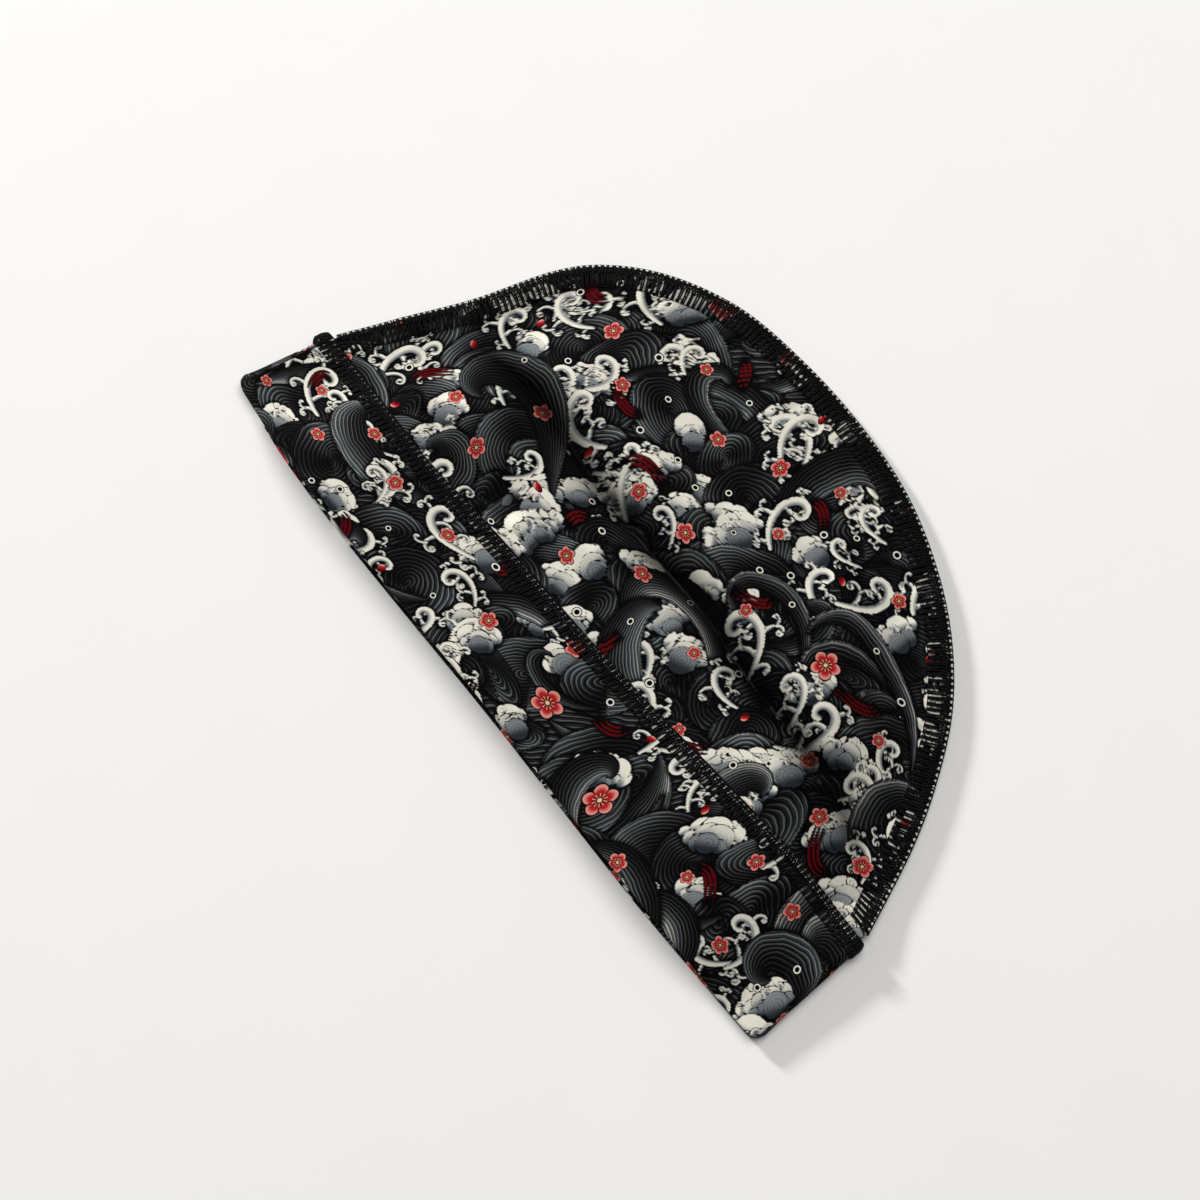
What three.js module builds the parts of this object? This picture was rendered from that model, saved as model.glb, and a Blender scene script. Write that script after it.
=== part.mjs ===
// A stretch wave cap, laid flat as it is put down: two half-moon panels of jersey,
// joined round the curve by an overlocked seam that shows on the outside, with the
// hem turned up all round the brim as a cuff and overlocked along its raw edge.
// Millimetres. X runs along the brim, Y from the brim to the crown, Z up from the
// surface that the cap lies on. The crown stays hollow and its mouth is open.

import * as THREE from "three";

// Overall sizes
const capWidth = 270;
const capHeight = 155;
const cuffDepth = 50;
const leftLean = 7;
const rightLean = 3;
const brimBow = 3.8;

// Cloth, thread and the room between pieces
const cloth = 1.0;
const thread = 0.8;
const clearance = 0.3;
const seamWidth = 8.6;
const cuffStitchWidth = 6.4;

// Share of the seam, at each end, in which its strip turns to lie along the cuff's edge
const seamEndTurn = 0.06;

// Loft of the upper side over the lower side
const mouthHeight = 7.5;
const puffReach = 20;
const foldRise = 6;
const floorReach = 16;

// Faces along and across the pieces
const panelColumns = 40;
const cuffStations = 38;
const endSteps = 5;
const foldSteps = 4;
const cuffRungs = 3;
const seamStations = 56;
const foldPathSteps = 20;
const crossingPasses = 8;

// How far up the seam the panels' outermost columns end
const cornerRise = 4;

// Where the rows of a panel lie: from the cuff's edge up to the long furrow, and from
// the furrow up to the seam
const rowsToFurrow = [0.14, 0.3, 0.46, 0.6, 0.72, 0.82, 0.9, 0.95, 1];
const rowsToSeam = [0.025, 0.055, 0.1, 0.17, 0.26, 0.38, 0.52, 0.66, 0.78, 0.88, 0.95, 1];
const lowerRowsToFurrow = [0.12, 0.26, 0.42, 1];
const lowerRowsToSeam = [0.38, 0.66, 0.78, 0.88, 0.95, 1];

// The curved seam between the two top corners of the cuff, from left to right: along is
// a share of capWidth, and rise a share of the way from the cuff's edge to capHeight.
const seamRows = [
  { along: 0.053, rise: 0.175 },
  { along: 0.09, rise: 0.385 },
  { along: 0.12, rise: 0.61 },
  { along: 0.155, rise: 0.745 },
  { along: 0.215, rise: 0.865 },
  { along: 0.3, rise: 0.955 },
  { along: 0.4, rise: 0.993 },
  { along: 0.5, rise: 1.0 },
  { along: 0.6, rise: 0.975 },
  { along: 0.69, rise: 0.905 },
  { along: 0.77, rise: 0.8 },
  { along: 0.84, rise: 0.655 },
  { along: 0.895, rise: 0.475 },
  { along: 0.94, rise: 0.28 },
];

// The brim and the cuff, along capWidth: bow is a share of brimBow, depth is one of
// cuffDepth, and loft one of mouthHeight.
const brimRows = [
  { along: 0.0, bow: 0.0, depth: 0.75, loft: 0.9 },
  { along: 0.1, bow: 0.76, depth: 0.73, loft: 0.95 },
  { along: 0.2, bow: 1.0, depth: 0.71, loft: 1.05 },
  { along: 0.35, bow: 0.85, depth: 0.77, loft: 0.9 },
  { along: 0.5, bow: 0.6, depth: 0.8, loft: 1.05 },
  { along: 0.65, bow: 0.58, depth: 0.86, loft: 0.95 },
  { along: 0.8, bow: 0.55, depth: 0.93, loft: 1.1 },
  { along: 0.9, bow: 0.3, depth: 0.98, loft: 1.0 },
  { along: 1.0, bow: 0.0, depth: 0.98, loft: 0.9 },
];

// The long furrow across the upper panel: up is a share of capHeight. It is felt from
// furrowFrom to furrowTo, in shares of capWidth. furrowDepth is a share of foldRise and
// furrowSpread one of capHeight. Along its bottom a sharp crease takes creaseShare of the
// room under the panel. Its two sides have their own spreads, in shares of capHeight, and
// creaseEdge is lower for a sharper bottom. Rows of points follow the furrow between the
// two last shares of the way from the cuff's edge to the seam.
const furrowRows = [
  { along: 0.0, up: 0.3 },
  { along: 0.06, up: 0.35 },
  { along: 0.1, up: 0.41 },
  { along: 0.15, up: 0.46 },
  { along: 0.2, up: 0.49 },
  { along: 0.27, up: 0.499 },
  { along: 0.35, up: 0.485 },
  { along: 0.46, up: 0.478 },
  { along: 0.58, up: 0.486 },
  { along: 0.65, up: 0.473 },
  { along: 0.74, up: 0.469 },
  { along: 0.82, up: 0.463 },
  { along: 0.9, up: 0.43 },
  { along: 1.0, up: 0.37 },
];
const furrowFrom = 0.1;
const furrowTo = 0.93;
const furrowDepth = 0.4;
const furrowSpread = 0.04;
const creaseShare = 0.96;
const creaseSpreadBelow = 0.024;
const creaseSpreadAbove = 0.0144;
const creaseEdge = 1.1;
const furrowNearest = 0.25;
const furrowFarthest = 0.6;

// Other folds of the upper panel. Each runs from (x0, y0) past (x1, y1) to (x2, y2), in
// shares of capWidth and capHeight. rise is a share of foldRise, and spread one of
// capHeight.
const folds = [
  { x0: 0.12, y0: 0.33, x1: 0.5, y1: 0.395, x2: 0.94, y2: 0.37, rise: 0.85, spread: 0.058 },
  { x0: 0.16, y0: 0.58, x1: 0.5, y1: 0.58, x2: 0.92, y2: 0.52, rise: 0.9, spread: 0.06 },
  { x0: 0.16, y0: 0.29, x1: 0.25, y1: 0.3, x2: 0.36, y2: 0.29, rise: -0.6, spread: 0.035 },
  { x0: 0.76, y0: 0.62, x1: 0.85, y1: 0.53, x2: 0.94, y2: 0.43, rise: -0.5, spread: 0.035 },
  { x0: 0.28, y0: 0.8, x1: 0.45, y1: 0.74, x2: 0.64, y2: 0.78, rise: -0.3, spread: 0.07 },
  { x0: 0.62, y0: 0.72, x1: 0.72, y1: 0.69, x2: 0.84, y2: 0.6, rise: 0.3, spread: 0.06 },
  { x0: 0.1, y0: 0.55, x1: 0.17, y1: 0.68, x2: 0.28, y2: 0.78, rise: 0.35, spread: 0.05 },
];
const foldTaper = 0.16;

const jerseyMaterial = { color: 0x1d1e21, roughness: 0.78, metalness: 0 };
const threadMaterial = { color: 0x070708, roughness: 0.7, metalness: 0 };

// Sizes that follow from the ones above
const cuffInside = cloth / 2 + clearance;
const cuffOutside = cuffInside + cloth;
const stitchInside = cuffOutside + clearance;
const stitchOutside = stitchInside + thread;
const seamOutside = cloth / 2 + clearance + thread;
const flangeHalf = (cloth + clearance) / 2;
const endRadius = flangeHalf + cuffOutside;
const foldRadius = (cuffOutside + cloth / 2) / 2;
const foldLevel = foldRadius - cloth / 2;
const panelStart = foldRadius + clearance;
const flangeWidth = seamWidth + clearance;

// Smooth ramp from 0 at low to 1 at high
const ramp = (low, high, at) => THREE.MathUtils.smoothstep(at, low, high);

// A smooth curve through one column of a table, read at a share of the width
function tableCurve(rows, column) {
  const curve = new THREE.SplineCurve(rows.map((row) => new THREE.Vector2(row.along, row[column])));
  return (along) => {
    const last = rows.length - 1;
    const place = THREE.MathUtils.clamp(along, rows[0].along, rows[last].along);
    const span = Math.min(rows.findIndex((row) => row.along >= place) || 1, last);
    const [from, to] = [rows[span - 1].along, rows[span].along];
    return curve.getPoint((span - 1 + (place - from) / (to - from)) / last).y;
  };
}

const bowAt = tableCurve(brimRows, "bow");
const depthAt = tableCurve(brimRows, "depth");
const loftAt = tableCurve(brimRows, "loft");
const upAt = tableCurve(furrowRows, "up");
const brimY = (x) => brimBow * (1 - bowAt(x / capWidth));
const cuffEdge = (x) => cuffDepth * depthAt(x / capWidth);
const furrowY = (x) => capHeight * upAt(x / capWidth);

// The cap's two straight ends, where the cuff folds round: x at a height above the brim
const endShare = (x, y) => (y - brimY(x)) / (cuffEdge(x) - brimY(x));
const leftEnd = (y) => leftLean * endShare(0, y);
const rightEnd = (y) => capWidth - rightLean * endShare(capWidth, y);

// The curved seam, evenly spaced from the left corner to the right one, with the way
// inwards from it: square to the seam, but along the cuff's edge where the seam meets it
const seamCurve = new THREE.SplineCurve([
  new THREE.Vector2(leftLean, cuffEdge(0)),
  ...seamRows.map(({ along, rise }) => {
    const x = along * capWidth;
    return new THREE.Vector2(x, THREE.MathUtils.lerp(cuffEdge(x), capHeight, rise));
  }),
  new THREE.Vector2(capWidth - rightLean, cuffEdge(capWidth)),
]);
seamCurve.arcLengthDivisions = 10 * seamStations;
const seamAt = (share) => {
  const point = seamCurve.getPointAt(share);
  const tangent = seamCurve.getTangentAt(share);
  const normal = new THREE.Vector2(tangent.y, -tangent.x);
  const level = new THREE.Vector2(share < 0.5 ? 1 : -1, 0);
  const alongCuff = 1 - ramp(0, seamEndTurn, Math.min(share, 1 - share));
  return { point, inward: normal.lerp(level, alongCuff) };
};

// The rim is all of the outline but the brim. Everything is measured inwards from it.
const rim = [
  new THREE.Vector2(0, brimY(0)),
  ...seamCurve.getSpacedPoints(seamStations * 2),
  new THREE.Vector2(capWidth, brimY(capWidth)),
];

// Shortest distance from a point to a line of points, and how far along it that is
function distanceToPath(path, x, y) {
  let best = { distance: Infinity, share: 0 };
  path.slice(1).forEach((end, index) => {
    const start = path[index];
    const [dx, dy] = [end.x - start.x, end.y - start.y];
    const t = THREE.MathUtils.clamp(
      ((x - start.x) * dx + (y - start.y) * dy) / (dx * dx + dy * dy), 0, 1);
    const distance = Math.hypot(x - start.x - t * dx, y - start.y - t * dy);
    if (distance < best.distance) best = { distance, share: (index + t) / (path.length - 1) };
  });
  return best;
}
const rimDistance = (x, y) => distanceToPath(rim, x, y).distance;

// The middle lines of the folds, the furrow first
const furrowPath = Array.from({ length: 2 * foldPathSteps + 1 }, (_, i) => {
  const x = capWidth * THREE.MathUtils.lerp(furrowFrom, furrowTo, i / (2 * foldPathSteps));
  return new THREE.Vector2(x, furrowY(x));
});
const foldPaths = [
  { path: furrowPath, rise: -furrowDepth, spread: furrowSpread },
  ...folds.map(({ x0, y0, x1, y1, x2, y2, rise, spread }) => {
    const at = (x, y) => new THREE.Vector2(x * capWidth, y * capHeight);
    const curve = new THREE.SplineCurve([at(x0, y0), at(x1, y1), at(x2, y2)]);
    return { path: curve.getPoints(foldPathSteps), rise, spread };
  }),
];

// How strongly a fold is felt at a share of its path
const foldTaperAt = (share) => ramp(0, foldTaper, share) * ramp(0, foldTaper, 1 - share);

// Room under the upper panel: the loft and the folds, less what the crease takes
function hollowHeight(x, y) {
  const clearOfCuff = ramp(cuffEdge(x) - thread, cuffEdge(x) + seamWidth, y);
  const folded = foldPaths.reduce((total, { path, rise, spread }) => {
    const { distance, share } = distanceToPath(path, x, y);
    const bulge = Math.exp(-((distance / (spread * capHeight)) ** 2));
    return total + rise * foldRise * foldTaperAt(share) * bulge;
  }, 0);
  const { distance, share } = distanceToPath(furrowPath, x, y);
  const creaseSpread = y > furrowY(x) ? creaseSpreadAbove : creaseSpreadBelow;
  const crease = Math.exp(-((distance / (creaseSpread * capHeight)) ** creaseEdge));
  const loft = mouthHeight * loftAt(x / capWidth);
  const open = 1 - clearOfCuff * creaseShare * foldTaperAt(share) * crease;
  return Math.max(loft + clearOfCuff * folded, 0) * open;
}

// Middle of the lower panel: it lies on the surface inside, and on the thread and the
// cuff near its edges.
function lowerLevel(x, y) {
  const inside = ramp(flangeWidth, flangeWidth + floorReach, rimDistance(x, y));
  const crownLevel = THREE.MathUtils.lerp(seamOutside, cloth / 2, inside);
  const edge = cuffEdge(x);
  const cuffLevel = THREE.MathUtils.lerp(
    cuffOutside, stitchOutside, ramp(0, edge - cuffStitchWidth, y));
  return THREE.MathUtils.lerp(cuffLevel, crownLevel, ramp(edge + thread, edge + floorReach, y));
}

// Middle of the upper panel, over the hollow
function upperLevel(x, y) {
  const reach = Math.max(rimDistance(x, y) - flangeWidth, 0) / puffReach;
  const open = 1 - Math.exp(-(reach ** 2));
  return lowerLevel(x, y) + cloth + clearance + open * hollowHeight(x, y);
}

// A closed solid from columns that each hold an outer and an inner line of points.
// Neighbouring columns are joined by quads, and the two ends are closed or joined up.
function ladderSolid(columns, joined = false) {
  const rungs = columns[0].outer.length;
  const loop = 2 * rungs;
  const positions = columns.flatMap(({ outer, inner }) =>
    [...outer, ...[...inner].reverse()].flatMap((point) => [point.x, point.y, point.z]));
  const indices = [];
  const quad = (a, b, c, d) => indices.push(a, b, c, a, c, d);
  const spans = joined ? columns.length : columns.length - 1;
  for (let i = 0; i < spans; i++) {
    const here = i * loop;
    const next = ((i + 1) % columns.length) * loop;
    for (let k = 0; k < loop; k++) {
      const after = (k + 1) % loop;
      quad(here + k, next + k, next + after, here + after);
    }
  }
  if (!joined) {
    const end = (columns.length - 1) * loop;
    for (let k = 0; k < rungs - 1; k++) {
      const mate = loop - 1 - k;
      quad(k, k + 1, mate - 1, mate);
      quad(end + k, end + mate, end + mate - 1, end + k + 1);
    }
  }
  const geometry = new THREE.BufferGeometry();
  geometry.setAttribute("position", new THREE.Float32BufferAttribute(positions, 3));
  geometry.setIndex(indices);
  geometry.computeVertexNormals();
  return geometry;
}

// A half-moon panel whose middle has the given level. Its columns run from the brim to
// the seam, with a row of points on the cuff's edge and one along the furrow.
function panelGeometry(level, toFurrow, toSeam) {
  const corner = cornerRise / seamCurve.getLength();
  const columns = [];
  for (let i = 0; i <= panelColumns; i++) {
    const share = i / panelColumns;
    const { point, inward } = seamAt(THREE.MathUtils.lerp(corner, 1 - corner, share));
    const top = point.clone().addScaledVector(inward, endRadius);
    const x = THREE.MathUtils.lerp(endRadius, capWidth - endRadius, share);
    const bottom = new THREE.Vector2(x, brimY(x) + panelStart);
    const crossing = (lineY) => {
      let at = 0.5;
      for (let pass = 0; pass < crossingPasses; pass++) {
        at = (lineY(THREE.MathUtils.lerp(bottom.x, top.x, at)) - bottom.y) / (top.y - bottom.y);
      }
      return at;
    };
    const edge = crossing(cuffEdge);
    const furrow = THREE.MathUtils.clamp(
      crossing(furrowY),
      THREE.MathUtils.lerp(edge, 1, furrowNearest),
      THREE.MathUtils.lerp(edge, 1, furrowFarthest));
    const shares = [
      ...Array.from({ length: cuffRungs + 1 }, (_, k) => (edge * k) / cuffRungs),
      ...toFurrow.map((row) => THREE.MathUtils.lerp(edge, furrow, row)),
      ...toSeam.map((row) => THREE.MathUtils.lerp(furrow, 1, row)),
    ];
    const line = shares.map((row) => bottom.clone().lerp(top, row));
    const lifted = (lift) =>
      line.map((p) => new THREE.Vector3(p.x, p.y, level(p.x, p.y) + lift));
    columns.push({ outer: lifted(cloth / 2), inner: lifted(-cloth / 2) });
  }
  return ladderSolid(columns);
}

// A band round the whole flattened brim. Each section point has y measured by the given
// function of x, and out, its distance outwards from the middle of the panel below it.
function bandGeometry(outerLine, innerLine) {
  const place = (x, point, side) => {
    const y = point.y(x);
    const level = side > 0 ? upperLevel(x, y) : lowerLevel(x, y);
    return new THREE.Vector3(x, y, level + side * point.out);
  };
  const round = (end, inset, point, turn) => {
    const y = point.y(end(0));
    const x = end(y) + inset;
    const [low, high] = [lowerLevel(x, y), upperLevel(x, y)];
    const radius = (high - low) / 2 + point.out;
    return new THREE.Vector3(
      x + radius * Math.sin(turn), y, (low + high) / 2 + radius * Math.cos(turn));
  };
  const column = (make) => ({ outer: outerLine.map(make), inner: innerLine.map(make) });
  const flat = (side) => Array.from({ length: cuffStations + 1 }, (_, i) => column((point) => {
    const share = side > 0 ? i / cuffStations : 1 - i / cuffStations;
    const y = point.y(share * capWidth);
    const x = THREE.MathUtils.lerp(leftEnd(y) + endRadius, rightEnd(y) - endRadius, share);
    return place(x, point, side);
  }));
  const turned = (end, inset, from) =>
    Array.from({ length: endSteps }, (_, i) => column((point) =>
      round(end, inset, point, from + (Math.PI * (i + 1)) / (endSteps + 1))));
  return ladderSolid([
    ...flat(1),
    ...turned(rightEnd, -endRadius, 0),
    ...flat(-1),
    ...turned(leftEnd, endRadius, Math.PI),
  ], true);
}

// The cuff: the hem's cloth turns round the brim and runs back up outside the panel
function cuffGeometry() {
  const turn = (radius) => Array.from({ length: foldSteps + 1 }, (_, i) => {
    const angle = Math.PI * (i / foldSteps - 0.5);
    return {
      y: (x) => brimY(x) + foldRadius - radius * Math.cos(angle),
      out: foldLevel + radius * Math.sin(angle),
    };
  });
  const leg = (out) => Array.from({ length: cuffRungs }, (_, i) => ({
    y: (x) => THREE.MathUtils.lerp(
      brimY(x) + foldRadius, cuffEdge(x) - thread - clearance, (i + 1) / cuffRungs),
    out,
  }));
  return bandGeometry(
    [...turn(foldRadius), ...leg(cuffOutside)],
    [...turn(clearance / 2), ...leg(cuffInside)]);
}

// The overlock along the cuff's raw edge: thread over the cuff, and over its edge
function cuffOverlockGeometry() {
  const at = (back, out) => ({ y: (x) => cuffEdge(x) - back, out });
  return bandGeometry(
    [at(cuffStitchWidth, stitchOutside), at(0, stitchOutside), at(0, cuffInside)],
    [at(cuffStitchWidth, stitchInside), at(thread, stitchInside), at(thread, cuffInside)]);
}

// The overlock round the curved seam: thread over the two panels and round their edges
function seamOverlockGeometry() {
  const start = (2 * clearance + thread) / seamCurve.getLength();
  const columns = [];
  for (let i = 0; i <= seamStations; i++) {
    const { point, inward } = seamAt(THREE.MathUtils.lerp(start, 1 - start, i / seamStations));
    const at = (back, side, out) => {
      const p = point.clone().addScaledVector(inward, back);
      const level = side > 0 ? upperLevel(p.x, p.y) : lowerLevel(p.x, p.y);
      return new THREE.Vector3(p.x, p.y, level + side * out);
    };
    const inside = cloth / 2 + clearance;
    columns.push({
      outer: [
        at(seamWidth, 1, seamOutside), at(thread, 1, seamOutside), at(0, 1, inside),
        at(0, -1, inside), at(thread, -1, seamOutside), at(seamWidth, -1, seamOutside)],
      inner: [
        at(seamWidth, 1, inside), at(2 * thread, 1, inside), at(thread, 1, 0),
        at(thread, -1, 0), at(2 * thread, -1, inside), at(seamWidth, -1, inside)],
    });
  }
  return ladderSolid(columns);
}

function piece(name, geometry, material) {
  const mesh = new THREE.Mesh(geometry, new THREE.MeshStandardMaterial(material));
  mesh.name = name;
  return mesh;
}

const cap = new THREE.Group();
cap.add(
  piece(
    "crown_panel_upper", panelGeometry(upperLevel, rowsToFurrow, rowsToSeam), jerseyMaterial),
  piece(
    "crown_panel_lower", panelGeometry(lowerLevel, lowerRowsToFurrow, lowerRowsToSeam),
    jerseyMaterial),
  piece("crown_seam_overlock", seamOverlockGeometry(), threadMaterial),
  piece("cuff_band", cuffGeometry(), jerseyMaterial),
  piece("cuff_overlock", cuffOverlockGeometry(), threadMaterial),
);

// The origin is at the middle of the underside
const box = new THREE.Box3().setFromObject(cap);
const middle = box.getCenter(new THREE.Vector3());
cap.position.set(-middle.x, -middle.y, -box.min.z);

export default cap;
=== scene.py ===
"""A stretch wave cap of printed jersey, laid flat. Lengths in this file are in millimetres
on the cap's own axes, X along the brim and Y towards the crown, until row() turns them
into metres about the middle of its underside."""

import math

import bpy
import numpy as np
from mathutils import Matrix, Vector


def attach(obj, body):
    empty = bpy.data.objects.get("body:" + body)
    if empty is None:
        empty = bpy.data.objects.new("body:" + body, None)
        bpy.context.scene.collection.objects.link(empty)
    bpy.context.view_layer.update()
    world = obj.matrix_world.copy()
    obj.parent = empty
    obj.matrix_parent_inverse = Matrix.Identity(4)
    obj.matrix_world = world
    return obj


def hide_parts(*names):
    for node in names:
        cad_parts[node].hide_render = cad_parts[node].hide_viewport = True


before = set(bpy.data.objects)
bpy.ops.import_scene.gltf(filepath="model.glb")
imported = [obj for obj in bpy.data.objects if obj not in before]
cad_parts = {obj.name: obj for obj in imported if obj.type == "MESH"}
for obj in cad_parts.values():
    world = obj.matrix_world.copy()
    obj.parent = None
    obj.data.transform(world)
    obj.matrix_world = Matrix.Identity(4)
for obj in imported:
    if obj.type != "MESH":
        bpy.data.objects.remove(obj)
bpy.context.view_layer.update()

# ---- Sizes of the cap, as in the model's source ----
CAP_WIDTH = 270.0
CAP_HEIGHT = 155.0
CUFF_DEPTH = 50.0
LEFT_LEAN = 7.0
RIGHT_LEAN = 3.0
BRIM_BOW = 3.8
CLOTH = 1.0
THREAD = 0.8
CLEARANCE = 0.3
SEAM_WIDTH = 8.6
CUFF_STITCH_WIDTH = 6.4
SEAM_END_TURN = 0.06
MOUTH_HEIGHT = 7.5
PUFF_REACH = 20.0
FOLD_RISE = 6.0
FLOOR_REACH = 16.0
CORNER_RISE = 4.0
FURROW_FROM = 0.1
FURROW_TO = 0.93
FURROW_DEPTH = 0.4
FURROW_SPREAD = 0.04
CREASE_SHARE = 0.96
CREASE_SPREAD = 0.024
CREASE_BEYOND = 0.6
FOLD_TAPER = 0.16

# along, rise
SEAM_ROWS = [
    (0.053, 0.175), (0.09, 0.385), (0.12, 0.61), (0.155, 0.745), (0.215, 0.865),
    (0.3, 0.955), (0.4, 0.993), (0.5, 1.0), (0.6, 0.975), (0.69, 0.905),
    (0.77, 0.8), (0.84, 0.655), (0.895, 0.475), (0.94, 0.28),
]
# along, bow, depth, loft
BRIM_ROWS = [
    (0.0, 0.0, 0.75, 0.9), (0.1, 0.76, 0.73, 0.95), (0.2, 1.0, 0.71, 1.05),
    (0.35, 0.85, 0.77, 0.9), (0.5, 0.6, 0.8, 1.05), (0.65, 0.58, 0.86, 0.95),
    (0.8, 0.55, 0.93, 1.1), (0.9, 0.3, 0.98, 1.0), (1.0, 0.0, 0.98, 0.9),
]
# along, up
FURROW_ROWS = [
    (0.0, 0.3), (0.06, 0.35), (0.1, 0.41), (0.15, 0.46), (0.2, 0.49), (0.27, 0.499),
    (0.35, 0.485), (0.46, 0.478), (0.58, 0.486), (0.65, 0.473), (0.74, 0.469),
    (0.82, 0.463), (0.9, 0.43), (1.0, 0.37),
]
# x0, y0, x1, y1, x2, y2, rise, spread
FOLDS = [
    (0.12, 0.33, 0.5, 0.395, 0.94, 0.37, 0.85, 0.058),
    (0.16, 0.58, 0.5, 0.58, 0.92, 0.52, 0.9, 0.06),
    (0.16, 0.29, 0.25, 0.3, 0.36, 0.29, -0.6, 0.035),
    (0.76, 0.62, 0.85, 0.53, 0.94, 0.43, -0.5, 0.035),
    (0.28, 0.8, 0.45, 0.74, 0.64, 0.78, -0.3, 0.07),
    (0.62, 0.72, 0.72, 0.69, 0.84, 0.6, 0.3, 0.06),
    (0.1, 0.55, 0.17, 0.68, 0.28, 0.78, 0.35, 0.05),
]

CUFF_INSIDE = CLOTH / 2 + CLEARANCE
CUFF_OUTSIDE = CUFF_INSIDE + CLOTH
STITCH_INSIDE = CUFF_OUTSIDE + CLEARANCE
STITCH_OUTSIDE = STITCH_INSIDE + THREAD
SEAM_OUTSIDE = CLOTH / 2 + CLEARANCE + THREAD
END_RADIUS = (CLOTH + CLEARANCE) / 2 + CUFF_OUTSIDE
FOLD_RADIUS = (CUFF_OUTSIDE + CLOTH / 2) / 2
FOLD_LEVEL = FOLD_RADIUS - CLOTH / 2
PANEL_START = FOLD_RADIUS + CLEARANCE
FLANGE_WIDTH = SEAM_WIDTH + CLEARANCE


# ---- Curves ----
TURN = 2 * math.pi
TABLE_STEPS = 60
SEAM_STEPS = 200
RIM_STEPS = 240
FOLD_STEPS = 10
FURROW_POINTS = 41
TANGENT_STEP = 0.4


def ramp(low, high, at):
    t = np.clip((at - low) / (high - low), 0, 1)
    return t * t * (3 - 2 * t)


def lerp(a, b, t):
    return a + (b - a) * t


def stack(*values):
    """The values side by side on a last axis."""
    return np.stack(np.broadcast_arrays(*values), -1)


def spline(points, steps):
    """The uniform spline through some points, with this many steps between two of them."""
    p = np.asarray(points, float)
    last = len(p) - 1
    i = np.repeat(np.arange(last), steps)
    t = np.tile(np.arange(steps) / steps, last)[:, None]
    before, here, after = p[np.maximum(i - 1, 0)], p[i], p[i + 1]
    beyond = p[np.minimum(i + 2, last)]
    v0, v1 = (after - before) / 2, (beyond - here) / 2
    line = (2 * here - 2 * after + v0 + v1) * t + 3 * after - 3 * here - 2 * v0 - v1
    line = (line * t + v0) * t + here
    return np.vstack([line, p[-1:]])


def table_curve(rows, column):
    rows = np.asarray(rows, float)
    at = np.arange((len(rows) - 1) * TABLE_STEPS + 1) / TABLE_STEPS
    alongs = np.interp(at, np.arange(len(rows)), rows[:, 0])
    values = spline(rows[:, [0, column]], TABLE_STEPS)[:, 1]
    return lambda x: np.interp(x / CAP_WIDTH, alongs, values)


bow_at, depth_at, loft_at = (table_curve(BRIM_ROWS, column) for column in (1, 2, 3))
up_at = table_curve(FURROW_ROWS, 1)


def brim_y(x):
    return BRIM_BOW * (1 - bow_at(x))


def cuff_edge(x):
    return CUFF_DEPTH * depth_at(x)


def left_end(y):
    return LEFT_LEAN * (y - brim_y(0.0)) / (cuff_edge(0.0) - brim_y(0.0))


def right_end(y):
    end = CAP_WIDTH
    return end - RIGHT_LEAN * (y - brim_y(end)) / (cuff_edge(end) - brim_y(end))


seam_line = spline(
    [(LEFT_LEAN, cuff_edge(0.0))]
    + [(a * CAP_WIDTH, lerp(cuff_edge(a * CAP_WIDTH), CAP_HEIGHT, rise)) for a, rise in SEAM_ROWS]
    + [(CAP_WIDTH - RIGHT_LEAN, cuff_edge(CAP_WIDTH))],
    SEAM_STEPS,
)
seam_reach = np.concatenate([[0], np.cumsum(np.linalg.norm(np.diff(seam_line, axis=0), axis=1))])
SEAM_LENGTH = seam_reach[-1]


def seam_at(share):
    """Points on the seam by share of its length, and the way inwards from each."""
    share = np.asarray(share, float)
    reach = share * SEAM_LENGTH

    def on_line(reach):
        return np.stack([np.interp(reach, seam_reach, seam_line[:, k]) for k in (0, 1)], -1)

    tangent = on_line(reach + TANGENT_STEP) - on_line(reach - TANGENT_STEP)
    tangent /= np.linalg.norm(tangent, axis=-1, keepdims=True)
    normal = stack(tangent[..., 1], -tangent[..., 0])
    level = stack(np.where(share < 0.5, 1.0, -1.0), np.zeros_like(share))
    along_cuff = 1 - ramp(0, SEAM_END_TURN, np.minimum(share, 1 - share))[..., None]
    return on_line(reach), lerp(normal, level, along_cuff)


rim = np.vstack([
    [(0, brim_y(0.0))],
    seam_at(np.linspace(0, 1, RIM_STEPS + 1))[0],
    [(CAP_WIDTH, brim_y(CAP_WIDTH))],
])


def to_path(path, x, y):
    """Distance from points to a line of points, and the share of it where it is nearest."""
    best = np.full(x.shape, np.inf)
    share = np.zeros(x.shape)
    for i, ((ax, ay), (bx, by)) in enumerate(zip(path[:-1], path[1:])):
        dx, dy = bx - ax, by - ay
        t = np.clip(((x - ax) * dx + (y - ay) * dy) / (dx * dx + dy * dy), 0, 1)
        d = (x - ax - t * dx) ** 2 + (y - ay - t * dy) ** 2
        near = d < best
        best[near] = d[near]
        share[near] = (i + t[near]) / (len(path) - 1)
    return np.sqrt(best), share


furrow_x = CAP_WIDTH * np.linspace(FURROW_FROM, FURROW_TO, FURROW_POINTS)
furrow = stack(furrow_x, CAP_HEIGHT * up_at(furrow_x))
fold_paths = [(furrow, -FURROW_DEPTH, FURROW_SPREAD)]
for x0, y0, x1, y1, x2, y2, rise, spread in FOLDS:
    ends = [(x0, y0), (x1, y1), (x2, y2)]
    path = spline([(x * CAP_WIDTH, y * CAP_HEIGHT) for x, y in ends], FOLD_STEPS)
    fold_paths.append((path, rise, spread))


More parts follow.
